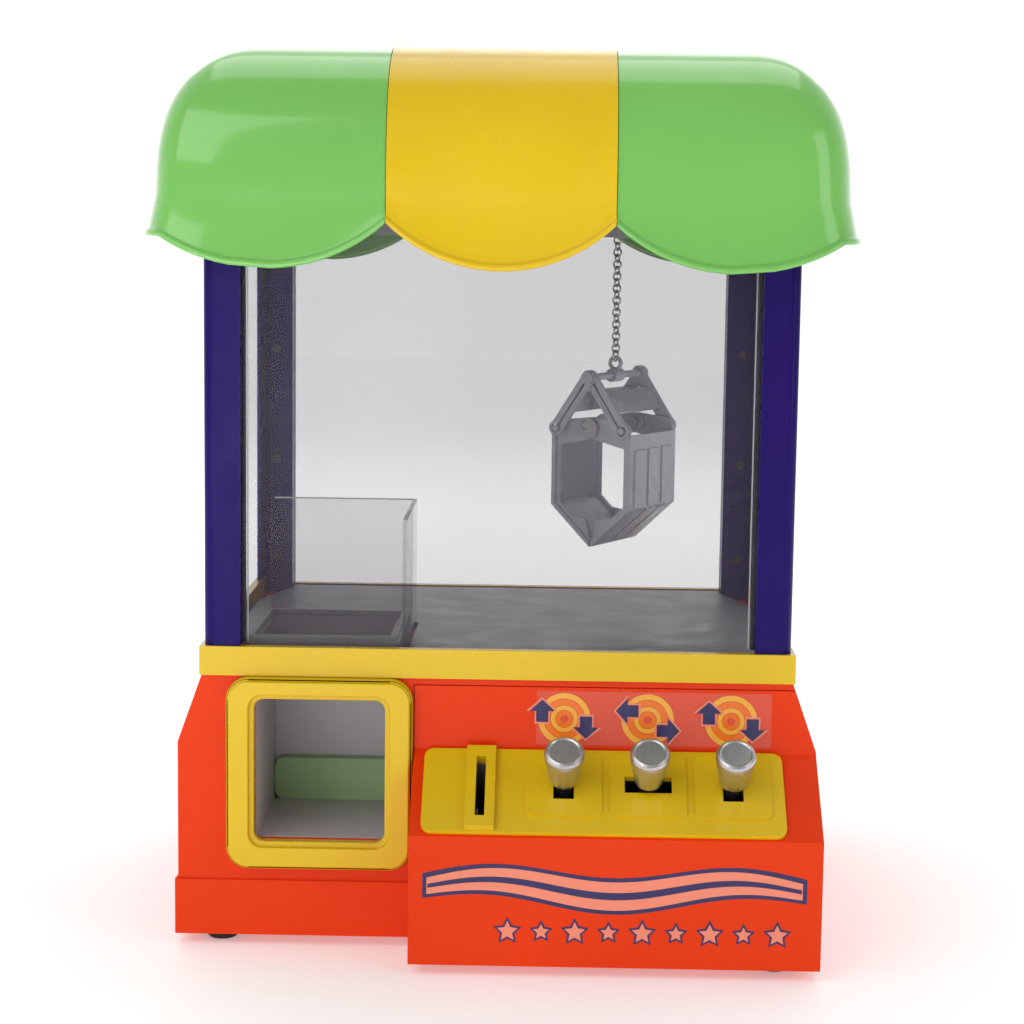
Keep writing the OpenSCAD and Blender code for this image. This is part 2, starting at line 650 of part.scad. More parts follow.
// Plan of a front left post: a body with a rounded corner, and a leg along the side
module post_plan() difference() {
    union() {
        translate([-half_w + post_round, 0]) square([post_face - post_round, post_depth]);
        translate([-half_w, post_round]) square([post_face, post_depth - post_round]);
        translate([-half_w + post_round, post_round]) circle(post_round);
        translate([-half_w, post_depth - eps]) square([post_leg, post_reach - post_depth]);
    }
    translate([-post_in - groove, pane_inset]) square([groove + 1, pane_t + 2 * fit]);
}

module post(left, front) place() color(purple) mirror([left ? 0 : 1, 0, 0])
    translate([0, front ? 0 : cabinet_d, 0]) mirror([0, front ? 0 : 1, 0]) difference() {
        translate([0, 0, (front ? bezel_top : shelf_z) + 0.02])
            linear_extrude(ceiling_z - (front ? bezel_top : shelf_z) - 0.04) post_plan();
        if (!front) for (z = window_screw_z) translate([-window_screw_x, post_depth, z]) rotate([90, 0, 0]) {
            cylinder(h = 1.4, r = 2.6, center = true);
            cylinder(h = 10, r = screw_r + fit, center = true);
        }
        block([-half_w - 1, post_depth, 0], [-half_w + post_leg + 1, cabinet_d / 2, bezel_top + gap]);
    }

module post_front_left() post(true, true);
module post_front_right() post(false, true);
module post_rear_left() post(true, false);
module post_rear_right() post(false, false);

module window_screws() place() color(dark) for (s = [-1, 1], z = window_screw_z)
    translate([s * window_screw_x, cabinet_d - post_depth, z]) rotate([90, 0, 0]) difference() {
        union() {
            translate([0, 0, -0.68]) cylinder(h = 1.3, r = 2);
            translate([0, 0, -5]) cylinder(h = 4.4, r = screw_r);
        }
        for (a = [0, 90]) rotate([0, 0, a]) translate([0, 0, 0.5]) cube([2.4, 0.5, 1], center = true);
    }

// The front pane stands on the deck between the posts and runs in their grooves above
module front_window() place() color(clear) {
    block([-pane_half, front_pane_y - pane_t / 2 + fit, bezel_top + 0.05],
        [pane_half, front_pane_y + pane_t / 2 + fit, pane_top]);
    block([-post_in + 1, front_pane_y - pane_t / 2 + fit, deck_z + 0.02],
        [post_in - 1, front_pane_y + pane_t / 2 + fit, bezel_top + 1]);
}

module rear_window() place() color(clear)
    block([-pane_half, rear_pane_y - pane_t / 2 - fit, shelf_z + 0.02],
        [pane_half, rear_pane_y + pane_t / 2 - fit, pane_top]);

module side_window(s) place() color(clear)
    block([s > 0 ? pane_x : -pane_x - pane_t, post_depth + gap, shelf_z + 0.02],
        [s > 0 ? pane_x + pane_t : -pane_x, cabinet_d - post_depth - gap, pane_top]);
module left_window() side_window(-1);
module right_window() side_window(1);

module ceiling_plate() place() color(grey) difference() {
    union() {
        block([-half_w, 0, ceiling_z], [half_w, cabinet_d, plate_top]);
        for (y = [44, cabinet_d - 44]) block([-arm_half, y - 7, arm_low], [arm_half, y + 7, plate_top]);
        for (x = [-66, 66]) ceiling_arm(x, 0);
        ceiling_arm(0, proud);
        for (s = [-1, 1], y = [4, cabinet_d - 10])
            block([s * rail_x - 6, y, plate_top - eps], [s * rail_x + 6, y + 6, rail_z + 6]);
    }
    block([-opening_x, opening_y, 0], [opening_x, cabinet_d - opening_y, 400]);
    for (s = [-1, 1]) bar_y(s * rail_x, 5.5, cabinet_d - 5.5, rail_z, rod_r + 0.02);
}

// An arm that carries the front and rear canopy panels at x
module ceiling_arm(x, more) block([x - 9, -canopy_front - more + shell_t + 0.02, arm_low],
    [x + 9, cabinet_d + canopy_front + more - shell_t - 0.02, plate_top]);

module gantry_rails() place() color(steel) for (s = [-1, 1]) bar_y(s * rail_x, 5.6, cabinet_d - 5.6, rail_z, rod_r);

// Canopy ---------------------------------------------------------------------------------------

// Drop of the hem at distance d from the middle of a scallop that is c wide
function arc_drop(d, c) = let (r = (c * c / 4 + scallop * scallop) / (2 * scallop))
    sqrt(max(0, r * r - d * d)) - (r - scallop);

// Rows of a shell from hem to crown: [height, flank share, offset], for hem height h and crown zt
function rows(h, zt, off) = concat(
    [[h, 1, off + (off < 0 ? 0 : lip)], [h + 2.4, 1, off + (off < 0 ? 0 : lip)], [h + 3.2, 1, off],
        [spring_z - 1, 1, off]],
    [for (i = [1 : dome_steps]) let (a = 90 * i / dome_steps, c = max(cos(a), 0.03))
        [spring_z + (zt - spring_z + off) * pow(1 - pow(c, dome_pow), 1 / dome_pow), c, off]]);

// Plan of a corner panel, from the seam at the front, round the corner, to the middle of the side.
// Each entry is [kind, along]: 0 is a place along the front, 1 an angle round the corner,
// 2 a share of the side
corner_path = concat(
    [for (i = [0 : front_steps]) [0, centre_half + seam + (crown_half - centre_half - seam) * i / front_steps]],
    [for (i = [1 : corner_steps - 1]) [1, 90 * i / corner_steps]],
    [for (i = [0 : side_steps]) [2, 1 - i / side_steps]]);

// How far the sides stand out at height z, below the dome's spring
function side_flare(z) = flare * max(0, min(1, (spring_z - z) / (spring_z - hem_z)));

function corner_xy(p, share, off, z) = let (ax = (canopy_half - crown_half + off + side_flare(z)) * share,
    ay = (half_depth + canopy_front - crown_depth + off) * share)
    p[0] == 0 ? [-p[1], -crown_depth - ay]
    : p[0] == 1 ? [-crown_half - ax * pow(sin(p[1]), 2 / corner_pow),
        -crown_depth - ay * pow(cos(p[1]), 2 / corner_pow)]
    : [-crown_half - ax, -crown_depth * p[1] - seam / 2 * (1 - p[1])];

// Hem height under a point of the plan: one scallop on the front, a straight hem along the side
function hem_at(q) = let (c = canopy_half - centre_half,
        on_front = abs(q.y) > crown_depth + 0.9 * (half_depth + canopy_front - crown_depth)
            && abs(q.x) < canopy_half)
    hem_z - (on_front ? max(0, arc_drop(abs(q.x) - (centre_half + canopy_half) / 2, c)) : 0);

// A shell from its outer and inner sheets of rows, each row as long as the path, closed at the
// crown by flat fans that run to the crown's own corners
module sheet_shell(outer, inner, crown_out, crown_in) {
    n = len(outer[0]);
    m = len(outer);
    k = n * m;
    t = len(crown_out);
    top = (m - 1) * n;
    co = 2 * k;
    ci = 2 * k + t;
    faces = concat(
        [for (j = [0 : m - 2], i = [0 : n - 2]) [j * n + i, j * n + i + 1, (j + 1) * n + i + 1, (j + 1) * n + i]],
        [for (j = [0 : m - 2], i = [0 : n - 2])
            [k + j * n + i, k + (j + 1) * n + i, k + (j + 1) * n + i + 1, k + j * n + i + 1]],
        [for (i = [0 : n - 2]) [i, k + i, k + i + 1, i + 1]],
        [for (j = [0 : m - 2]) [j * n, (j + 1) * n, k + (j + 1) * n, k + j * n]],
        [for (j = [1 : m - 1]) [j * n - 1, k + j * n - 1, k + j * n + n - 1, j * n + n - 1]],
        [for (i = [0 : n - 2]) [co, top + i, top + i + 1]],
        [for (i = [0 : n - 2]) [ci, k + top + i + 1, k + top + i]],
        t == 1 ? [] : [[co, top + n - 1, co + 1], [ci, ci + 1, k + top + n - 1], [ci, co, co + 1, ci + 1]],
        [[k + top, top, co, ci], [co + t - 1, top + n - 1, k + top + n - 1, ci + t - 1]]);
    polyhedron(points = concat([for (r = outer) each r], [for (r = inner) each r], crown_out, crown_in),
        faces = faces, convexity = 6);
}

function corner_sheet(zt, off) = let (hems = [for (p = corner_path) hem_at(corner_xy(p, 1, 0, spring_z))])
    [for (j = [0 : dome_steps + 3]) [for (i = [0 : len(corner_path) - 1])
        let (r = rows(hems[i], zt, off)[j], q = corner_xy(corner_path[i], r[1], r[2], r[0])) [q.x, q.y, r[0]]]];

module corner_shell(zt) {
    outer = corner_sheet(zt, 0);
    inner = corner_sheet(zt, -shell_t);
    last = len(outer) - 1;
    sheet_shell(outer, inner,
        [[-centre_half - seam, -seam / 2, outer[last][0].z]],
        [[-centre_half - seam, -seam / 2, inner[last][0].z]]);
}

function centre_sheet(zt, off) = [for (j = [0 : dome_steps + 3]) [for (i = [0 : centre_steps])
    let (x = centre_half * (1 - 2 * i / centre_steps), h = hem_z - arc_drop(x, 2 * centre_half),
        r = rows(h, zt, off)[j], ay = (half_depth + canopy_front + proud - crown_depth) * r[1] + r[2] * r[1])
    [x, -crown_depth - ay, r[0]]]];

module centre_shell(zt) {
    outer = centre_sheet(zt, 0);
    inner = centre_sheet(zt, -shell_t);
    last = len(outer) - 1;
    sheet_shell(outer, inner,
        [for (x = [centre_half, -centre_half]) [x, -seam / 2, outer[last][0].z]],
        [for (x = [centre_half, -centre_half]) [x, -seam / 2, inner[last][0].z]]);
}

module canopy_place(rear) place() translate([0, half_depth, 0]) mirror([0, rear ? 1 : 0, 0]) children();
module canopy_front_left() color(green) canopy_place(false) corner_shell(crown_z - crown_step);
module canopy_front_right() color(green) canopy_place(false) mirror([1, 0, 0]) corner_shell(crown_z - crown_step);
module canopy_rear_left() color(green) canopy_place(true) corner_shell(crown_z);
module canopy_rear_right() color(green) canopy_place(true) mirror([1, 0, 0]) corner_shell(crown_z);
module canopy_front_centre() color(yellow) canopy_place(false) centre_shell(crown_z - crown_step);
module canopy_rear_centre() color(yellow) canopy_place(true) centre_shell(crown_z);

// Gantry ---------------------------------------------------------------------------------------

module bridge_trucks() place() color(grey) for (s = [-1, 1]) difference() {
    block([s > 0 ? truck_in : -rail_x - 6, claw_y - truck_half, rail_z - 9],
        [s > 0 ? rail_x + 6 : -truck_in, claw_y + truck_half, rail_z + 9]);
    bar_y(s * rail_x, -10, cabinet_d + 10, rail_z, rod_r + fit);
    for (y = rod_y) bar_x(s > 0 ? truck_in - 1 : -truck_in - 2, s > 0 ? truck_in + 2 : -truck_in + 1, y, rod_z, rod_r + 0.02);
    bar_x(s * rail_x - 20, s * rail_x + 20, axle_y, axle_z, axle_r + fit);
}

module bridge_rods() place() color(steel) for (y = rod_y) bar_x(-truck_in - 1.9, truck_in + 1.9, y, rod_z, rod_r);

module bridge_motor() place() color(silver) {
    block([rail_x + 6.02, claw_y - 24, rail_z - 8], [rail_x + 15, claw_y - 12, rail_z + 8]);
    bar_y(rail_x + 10.6, claw_y - 12 - eps, claw_y + 14, rail_z, 4.3);
}

module bridge_axle() place() color(dark) {
    bar_x(-rail_x - 4, rail_x + 4, axle_y, axle_z, axle_r);
    for (s = [-1, 1]) bar_x(s * wheel_x - 2.5, s * wheel_x + 2.5, axle_y, axle_z, wheel_r);
}

module carriage_frame() place() color(grey) difference() {
    union() {
        block([carriage_x[0], rod_y[0] - 5, floor_z], [carriage_x[1], rod_y[1] + 5, floor_z + 2.4]);
        for (y = rod_y) block([carriage_x[0], y - 5, floor_z], [carriage_x[1], y + 5, rod_z + 4.4]);
        for (s = [-1, 1]) block([drum_x - 8, claw_y + s * (cheek_y + cheek_t / 2) - cheek_t / 2, floor_z],
            [drum_x + 8, claw_y + s * (cheek_y + cheek_t / 2) + cheek_t / 2, drum_z + 6]);
        for (y = [rod_y[0] - 5, rod_y[0] + 3.5]) block([claw_x + 2, y, rod_z], [claw_x + 10, y + 1.5, roller_z + 4]);
    }
    block([claw_x - 5, claw_y - cheek_y, 0], [claw_x + 5, claw_y + cheek_y, 400]);
    for (y = rod_y) bar_x(-200, 200, y, rod_z, rod_r + fit);
    bar_y(drum_x, 0, cabinet_d, drum_z, axle_r + fit);
    bar_y(claw_x + 6, rod_y[0] - 10, rod_y[0] + 10, roller_z, pin_r + fit);
    block([claw_x - 2, rod_y[0] - 3.5, rod_z + 3], [claw_x + 14, rod_y[0] + 3.5, 400]);
}

module winch_motor() place() color(silver)
    bar_y(drum_x, claw_y + cheek_y + cheek_t + 2.6, claw_y + cheek_y + cheek_t + 18, drum_z, drum_z - rod_z - 4.42);

module carriage_roller() place() color(dark) {
    bar_y(claw_x + 6, rod_y[0] - 5.6, rod_y[0] + 5.6, roller_z, pin_r);
    bar_y(claw_x + 6, rod_y[0] - 3.1, rod_y[0] + 3.1, roller_z, roller_r);
}

module winch_drum() place() color(dark) {
    bar_y(drum_x, claw_y - cheek_y - cheek_t - 2, claw_y + cheek_y + cheek_t + 2.2, drum_z, axle_r);
    bar_y(drum_x, claw_y - cheek_y + gap, claw_y + cheek_y - gap, drum_z, drum_r);
    for (s = [-1, 1]) bar_y(drum_x, claw_y + s * (cheek_y - 0.8) - 0.5, claw_y + s * (cheek_y - 0.8) + 0.5, drum_z, drum_r + 2);
}

// Chain and claw ---------------------------------------------------------------------------------

module claw_place() place() translate([claw_x, claw_y, pivot_z]) rotate([0, 0, claw_turn]) children();

module ring(z, r, turn) translate([claw_x, claw_y, z]) rotate([0, 0, claw_turn + turn])
    rotate([90, 0, 0]) rotate_extrude() translate([r, 0]) circle(wire_r, $fn = 24);

// A wide joining ring through the claw's eyelet, then small rings, each turned against the last
module chain() place() color(steel) {
    ring(join_z, join_r, 90);
    for (i = [0 : ring_count - 1]) ring(first_ring_z + i * ring_pitch, ring_r, i % 2 == 0 ? 0 : 90);
}

module claw_yoke() claw_place() color(silver) {
    bar_y(0, -rod_half, rod_half, rod_rise, claw_pin_r);
    bar_y(0, -4, 4, rod_rise, 2.9);
    for (s = [-1, 1]) bar_y(0, s * (rod_half + 0.5) - 0.5, s * (rod_half + 0.5) + 0.5, rod_rise, 2.7);
    translate([0, 0, eyelet_w]) rotate([90, 0, 0]) rotate_extrude() translate([eyelet_r, 0]) circle(eyelet_wire);
}

// A short pin with a round head outside and a small one inside, at the front and at the rear
module pivot_pins() claw_place() color(steel) for (s = [-1, 1]) mirror([0, s > 0 ? 1 : 0, 0]) {
    bar_y(0, -level_right, -ear_low + 3.5, 0, claw_pin_r);
    bar_y(0, -level_right - 2.8, -level_right + eps, 0, 4.3);
    bar_y(0, -ear_low + 2.4, -ear_low + 3.5, 0, 2.8);
}

// A place on a jaw's slanted outside: d along it from the side wall, h out of it
function on_slant(d, h) = [jaw_half - d * cos(jaw_slant) + h * sin(jaw_slant),
    -jaw_side - d * sin(jaw_slant) - h * cos(jaw_slant)];

// A jaw in its own plane, opening to +X: inner is how far its ears stand in from its ends
module jaw(inner) {
    thick = jaw_t / cos(jaw_slant);
    ear = jaw_len / 2 - inner - ear_t2;
    through_y(-jaw_len / 2, jaw_len / 2) polygon([[jaw_half, -2.5], [jaw_half, -jaw_side],
        [closing_gap, -jaw_drop], [closing_gap, -jaw_drop + thick],
        [jaw_in, -jaw_side + thick - jaw_t * tan(jaw_slant)], [jaw_in, -2.5]]);
    for (s = [0, 1]) mirror([0, s, 0]) difference() {
        union() {
            through_y(ear, ear + ear_t2) jaw_end();
            bar_y(shoulder.x, ear, jaw_len / 2 + inner + 2.6, shoulder.y, stub_r);
        }
        bar_y(0, 0, jaw_len, 0, claw_pin_r + fit);
    }
    for (v = [-12.5, 0, 12.5]) {
        block([jaw_half - eps, v - 5, -jaw_side + 0.6], [jaw_half + rib_t, v + 5, -9]);
        through_y(v - 5, v + 5) polygon([on_slant(1, -eps), on_slant(1, rib_t), on_slant(23, rib_t), on_slant(23, -eps)]);
    }
}

// The end of a jaw: an ear on the pin, a shoulder for the link, a rim and a gusset at the lips
module jaw_end() {
    circle(4.6);
    translate(shoulder) circle(3.4);
    polygon([[0, 4.6], [shoulder.x, shoulder.y + 3.4], [jaw_half - 0.6, -2.4], [jaw_half - 0.6, -9], [0, -4.6]]);
    polygon([[closing_gap + 0.8, -jaw_drop + 2.6], [13, -jaw_drop + 13.4], [3.4, -jaw_drop + 12]]);
    polygon([[jaw_half - 0.6, -8], [jaw_half - 0.6, -jaw_side - 0.2], [closing_gap + 0.4, -jaw_drop + 1],
        [closing_gap + 0.4, -jaw_drop + 3.6], [jaw_half - 3.4, -jaw_side + 0.8], [jaw_half - 3.4, -6]]);
}

module jaw_right() claw_place() color(silver) jaw(0);
module jaw_left() claw_place() color(silver) mirror([1, 0, 0]) jaw(1.9);

// A link from the top rod to a jaw's shoulder, its arms outside the ears and a web between them
module link(level) {
    run = [shoulder.x, shoulder.y - rod_rise];
    a = atan2(run.y, run.x);
    len = norm(run);
    for (s = [-1, 1]) mirror([0, s > 0 ? 1 : 0, 0]) difference() {
        through_y(-level - link_t, -level) {
            translate([0, rod_rise]) circle(3.2);
            translate(shoulder) circle(3.4);
            translate([0, rod_rise]) rotate([0, 0, a]) translate([0, -3]) square([len, 6]);
        }
        bar_y(0, -60, 60, rod_rise, claw_pin_r + fit);
        bar_y(shoulder.x, -60, 60, shoulder.y, stub_r + loose);
    }
    translate([0, 0, rod_rise]) rotate([0, -a, 0]) block([8, -level - eps, -0.6], [len - 8.5, level + eps, 0.9]);
}

module link_right() claw_place() color(silver) link(level_right);
module link_left() claw_place() color(silver) mirror([1, 0, 0]) link(level_left);

base_housing();
console_housing();
base_plate();
rubber_feet();
base_screws();
deck_bezel();
deck_tray();
chute_guard();
prize_chute();
landing_pad();
prize_door_frame();
control_panel();
coin_slot_bar();
coin_chute();
coin_lever();
stick_brackets();
stick_springs();
depth_stick();
depth_knob();
side_stick();
side_knob();
lift_stick();
lift_knob();
circuit_board();
speaker();
battery_box();
batteries();
battery_door();
post_front_left();
post_front_right();
post_rear_left();
post_rear_right();
front_window();
rear_window();
left_window();
right_window();
window_screws();
ceiling_plate();
gantry_rails();
canopy_front_left();
canopy_front_centre();
canopy_front_right();
canopy_rear_left();
canopy_rear_centre();
canopy_rear_right();
bridge_trucks();
bridge_rods();
bridge_motor();
bridge_axle();
carriage_frame();
winch_motor();
carriage_roller();
winch_drum();
chain();
claw_yoke();
pivot_pins();
jaw_right();
jaw_left();
link_right();
link_left();
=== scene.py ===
"""Looks for the toy claw crane: canopy shells, decals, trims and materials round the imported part."""
import json
import math

import bmesh
import bpy
from mathutils import Matrix, Vector

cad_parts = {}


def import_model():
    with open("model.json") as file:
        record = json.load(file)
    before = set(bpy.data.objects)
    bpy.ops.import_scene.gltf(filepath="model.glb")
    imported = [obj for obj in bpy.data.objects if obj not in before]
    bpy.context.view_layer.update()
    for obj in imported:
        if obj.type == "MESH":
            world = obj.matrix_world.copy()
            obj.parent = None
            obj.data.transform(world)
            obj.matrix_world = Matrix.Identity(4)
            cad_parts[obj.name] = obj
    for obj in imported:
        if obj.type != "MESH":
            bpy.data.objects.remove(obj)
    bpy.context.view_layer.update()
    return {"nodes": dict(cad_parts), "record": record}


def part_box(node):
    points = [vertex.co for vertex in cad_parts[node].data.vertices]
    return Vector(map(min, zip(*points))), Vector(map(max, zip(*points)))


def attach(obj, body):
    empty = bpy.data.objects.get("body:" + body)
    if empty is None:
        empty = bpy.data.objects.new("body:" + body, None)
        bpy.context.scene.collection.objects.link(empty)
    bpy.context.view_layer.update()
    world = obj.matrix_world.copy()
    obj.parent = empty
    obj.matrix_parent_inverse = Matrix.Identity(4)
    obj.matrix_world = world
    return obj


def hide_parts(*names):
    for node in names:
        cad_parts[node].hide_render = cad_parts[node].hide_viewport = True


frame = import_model()
NODES = frame["nodes"]
RECORD = frame["record"]
MM = 0.001

# Places taken from the frame, in metres: the front plane of the posts is the cabinet's Y = 0
POST_LOW, POST_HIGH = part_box("post_front_left")
FRONT = POST_LOW.y
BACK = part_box("post_rear_left")[1].y
HALF_DEPTH = (BACK - FRONT) / 2
MIDDLE = (FRONT + BACK) / 2


def at(x, y, z):
    """A place in millimetres in the cabinet, moved into the frame."""
    return Vector((x * MM, y * MM + FRONT, z * MM))


# Materials --------------------------------------------------------------------------------------

def hex_rgb(red, green, blue):
    """Linear colour of an sRGB colour given in 0 to 255."""
    def linear(c):
        c /= 255
        return c / 12.92 if c <= 0.04045 else ((c + 0.055) / 1.055) ** 2.4
    return (linear(red), linear(green), linear(blue))


class Nodes:
    """A material's node tree with short calls."""

    def __init__(self, name):
        self.material = bpy.data.materials.new(name)
        self.material.use_nodes = True
        self.tree = self.material.node_tree
        self.shader = self.tree.nodes["Principled BSDF"]
        self.place = self.tree.nodes.new("ShaderNodeTexCoord").outputs["Object"]

    def add(self, kind, **values):
        node = self.tree.nodes.new(kind)
        for key, value in values.items():
            setattr(node, key, value)
        return node

    def link(self, a, b):
        self.tree.links.new(a, b)

    def noise(self, scale, detail=2.0, stretch=None, distortion=0.0):
        node = self.add("ShaderNodeTexNoise")
        node.inputs["Scale"].default_value = scale
        node.inputs["Detail"].default_value = detail
        node.inputs["Distortion"].default_value = distortion
        if stretch:
            mapping = self.add("ShaderNodeMapping")
            mapping.inputs["Scale"].default_value = stretch
            self.link(self.place, mapping.inputs["Vector"])
            self.link(mapping.outputs["Vector"], node.inputs["Vector"])
        else:
            self.link(self.place, node.inputs["Vector"])
        return node.outputs["Fac"]

    def spread(self, value, low, high, start=0.3, end=0.7):
        node = self.add("ShaderNodeMapRange")
        node.inputs["From Min"].default_value = start
        node.inputs["From Max"].default_value = end
        node.inputs["To Min"].default_value = low
        node.inputs["To Max"].default_value = high
        self.link(value, node.inputs["Value"])
        return node.outputs["Result"]

    def blend(self, factor, first, second):
        node = self.add("ShaderNodeMix", data_type="RGBA")
        node.inputs["A"].default_value = (*first, 1)
        node.inputs["B"].default_value = (*second, 1)
        self.link(factor, node.inputs["Factor"])
        return node.outputs["Result"]

    def bump(self, height, depth, strength=1.0):
        node = self.add("ShaderNodeBump")
        node.inputs["Strength"].default_value = strength
        node.inputs["Distance"].default_value = depth
        self.link(height, node.inputs["Height"])
        self.link(node.outputs["Normal"], self.shader.inputs["Normal"])


def tinted(colour, share):
    """A colour made darker or lighter by a share."""
    return tuple(min(1.0, c * share) for c in colour)


def moulded(name, colour, rough=0.22, grain=0.00002, coat=0.0, shine=0.5):
    """Injection-moulded plastic: faint flow marks in colour and gloss, and a fine surface ripple."""
    m = Nodes(name)
    flow = m.noise(14, 3.0)
    m.link(m.blend(m.spread(flow, 0, 1), tinted(colour, 0.95), tinted(colour, 1.04)),
           m.shader.inputs["Base Color"])
    haze = m.noise(60, 4.0, distortion=0.6)
    m.link(m.spread(haze, rough * 0.8, rough * 1.25), m.shader.inputs["Roughness"])
    m.shader.inputs["Coat Weight"].default_value = coat
    m.shader.inputs["Coat Roughness"].default_value = 0.06
    m.shader.inputs["Specular IOR Level"].default_value = shine
    m.bump(m.noise(900, 2.0), grain, 0.35)
    return m.material


def satin_metal(name, colour, rough=0.3, stretch=(1, 1, 1), scratches=0.000003):
    """Metal with drawn or rubbed lines along one direction."""
    m = Nodes(name)
    m.shader.inputs["Metallic"].default_value = 1.0
    lines = m.noise(700, 3.0, stretch=stretch)
    m.link(m.blend(m.spread(m.noise(40), 0, 1), tinted(colour, 0.9), colour),
           m.shader.inputs["Base Color"])
    m.link(m.spread(lines, rough * 0.75, rough * 1.3), m.shader.inputs["Roughness"])
    m.bump(lines, scratches, 0.4)
    return m.material


def clear_plastic(name, colour, alpha, rough=0.05):
    """A clear sheet with faint smears in its gloss."""
    m = Nodes(name)
    m.shader.inputs["Base Color"].default_value = (*colour, 1)
    m.shader.inputs["Alpha"].default_value = alpha
    m.shader.inputs["Specular IOR Level"].default_value = 0.25
    m.link(m.spread(m.noise(18, 4.0, distortion=1.0), rough, rough * 3), m.shader.inputs["Roughness"])
    m.bump(m.noise(30, 1.0), 0.00003, 0.2)
    return m.material


ORANGE = hex_rgb(234, 60, 6)
YELLOW = hex_rgb(226, 189, 18)
GREEN = hex_rgb(119, 193, 90)
PURPLE = hex_rgb(36, 16, 98)
NAVY = hex_rgb(42, 36, 92)
SALMON = hex_rgb(244, 140, 112)

MATERIALS = {
    "orange_plastic": moulded("orange_plastic", ORANGE, 0.26, coat=0.05, shine=0.14),
    "yellow_plastic": moulded("yellow_plastic", YELLOW, 0.24, coat=0.15, shine=0.35),
    "green_plastic": moulded("green_plastic", GREEN, 0.16, coat=0.5),
    "purple_plastic": moulded("purple_plastic", PURPLE, 0.3, coat=0.0, shine=0.1),
    "grey_plastic": moulded("grey_plastic", hex_rgb(122, 120, 125), 0.42),
    "black_plastic": moulded("black_plastic", hex_rgb(34, 32, 34), 0.35),
    "clear_plastic": clear_plastic("clear_plastic", (0.12, 0.10, 0.13), 0.15),
    "silver_knob": satin_metal("silver_knob", hex_rgb(202, 200, 202), 0.34, (1, 1, 0.1), 0.000004),
    "claw_plastic": moulded("claw_plastic", hex_rgb(192, 191, 200), 0.26, coat=0.3),
    "steel": satin_metal("steel", hex_rgb(196, 194, 192), 0.34, scratches=0.0000004),
    "dark_steel": satin_metal("dark_steel", hex_rgb(62, 60, 63), 0.36),
    "motor_metal": satin_metal("motor_metal", hex_rgb(170, 170, 172), 0.3, (0.05, 1, 1)),
    "rubber": moulded("rubber", hex_rgb(28, 27, 27), 0.7, 0.00006),
    "green_pad": moulded("green_pad", hex_rgb(156, 190, 134), 0.5, 0.00005),
    "board": moulded("board", hex_rgb(22, 92, 52), 0.35),
}
CHUTE_GREY = moulded("chute_grey", hex_rgb(190, 186, 190), 0.4)
PRINT_NAVY = moulded("print_navy", NAVY, 0.3)
PRINT_SALMON = moulded("print_salmon", SALMON, 0.3)
PRINT_ORANGE = moulded("print_orange", hex_rgb(244, 118, 30), 0.3)
PRINT_YELLOW = moulded("print_yellow", hex_rgb(246, 176, 60), 0.3)
LABEL_FILM = clear_plastic("label_film", (1.0, 0.78, 0.66), 0.10, 0.1)
# A pale plastic for painted highlights along the pane and guard edges
PAINTED_EDGE_HIGHLIGHT = moulded("painted_edge_highlight", hex_rgb(236, 234, 240), 0.2)
# A dark plastic for painted shade in the recess beside the front posts
PAINTED_RECESS_SHADE = moulded("painted_recess_shade", hex_rgb(18, 17, 22), 0.55, 0.00004)


# Making pieces ----------------------------------------------------------------------------------

def piece(name, mesh_maker, material, body="cabinet", smooth=True, bevel=0.0):
    """A new object from a function that fills a bmesh, riding on a body."""
    mesh = bpy.data.meshes.new(name)
    bm = bmesh.new()
    mesh_maker(bm)
    bmesh.ops.recalc_face_normals(bm, faces=bm.faces)
    bm.to_mesh(mesh)
    bm.free()
    obj = bpy.data.objects.new(name, mesh)
    bpy.context.scene.collection.objects.link(obj)
    mesh.materials.append(material)
    for polygon in mesh.polygons:
        polygon.use_smooth = smooth
    if bevel:
        round_edges(obj, bevel)
    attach(obj, body)
    return obj


def round_edges(obj, width, angle=35, segments=2):
    """Small rounds on the sharp edges, and smooth shading between them."""
    weld = obj.modifiers.new("weld", "WELD")
    weld.merge_threshold = 0.00001
    bevel = obj.modifiers.new("rounds", "BEVEL")
    bevel.width = width
    bevel.segments = segments
    bevel.limit_method = "ANGLE"
    bevel.angle_limit = math.radians(angle)
    bevel.harden_normals = True
    bevel.miter_outer = "MITER_ARC"


def plate(outline, base, along, up, thick, holes=()):
    """Fills a bmesh with a thin plate: outline points (a, b) in millimetres from base."""
    out = along.cross(up).normalized()

    def fill(bm):
        loops = [[bm.verts.new(base + (a * along + b * up) * MM) for a, b in ring]
                 for ring in (outline, *holes)]
        edges = [bm.edges.new((ring[i], ring[i - 1])) for ring in loops for i in range(len(ring))]
        faces = bmesh.ops.triangle_fill(bm, use_beauty=True, edges=edges)["geom"]
        faces = [f for f in faces if isinstance(f, bmesh.types.BMFace)]
        grown = bmesh.ops.extrude_face_region(bm, geom=faces)["geom"]
        moved = [v for v in grown if isinstance(v, bmesh.types.BMVert)]
        bmesh.ops.translate(bm, verts=moved, vec=out * thick * MM)
    return fill


def ring_points(radius, count=64):
    """Points round a circle about the origin."""
    return [(radius * math.cos(2 * math.pi * i / count), radius * math.sin(2 * math.pi * i / count))
            for i in range(count)]


def bar(low, high):
    """Fills a bmesh with a bar between two corners given in the frame."""
    def fill(bm):
        made = bmesh.ops.create_cube(bm, size=1.0)["verts"]
        size = high - low
        bmesh.ops.scale(bm, vec=size, verts=made)
        bmesh.ops.translate(bm, vec=(low + high) / 2, verts=made)
    return fill


# Canopy -----------------------------------------------------------------------------------------
# The shells repeat the part's own outline with finer steps and rounded hems. Only their side hems
# differ: they hang SIDE_DROP lower than the part's, inside its box.

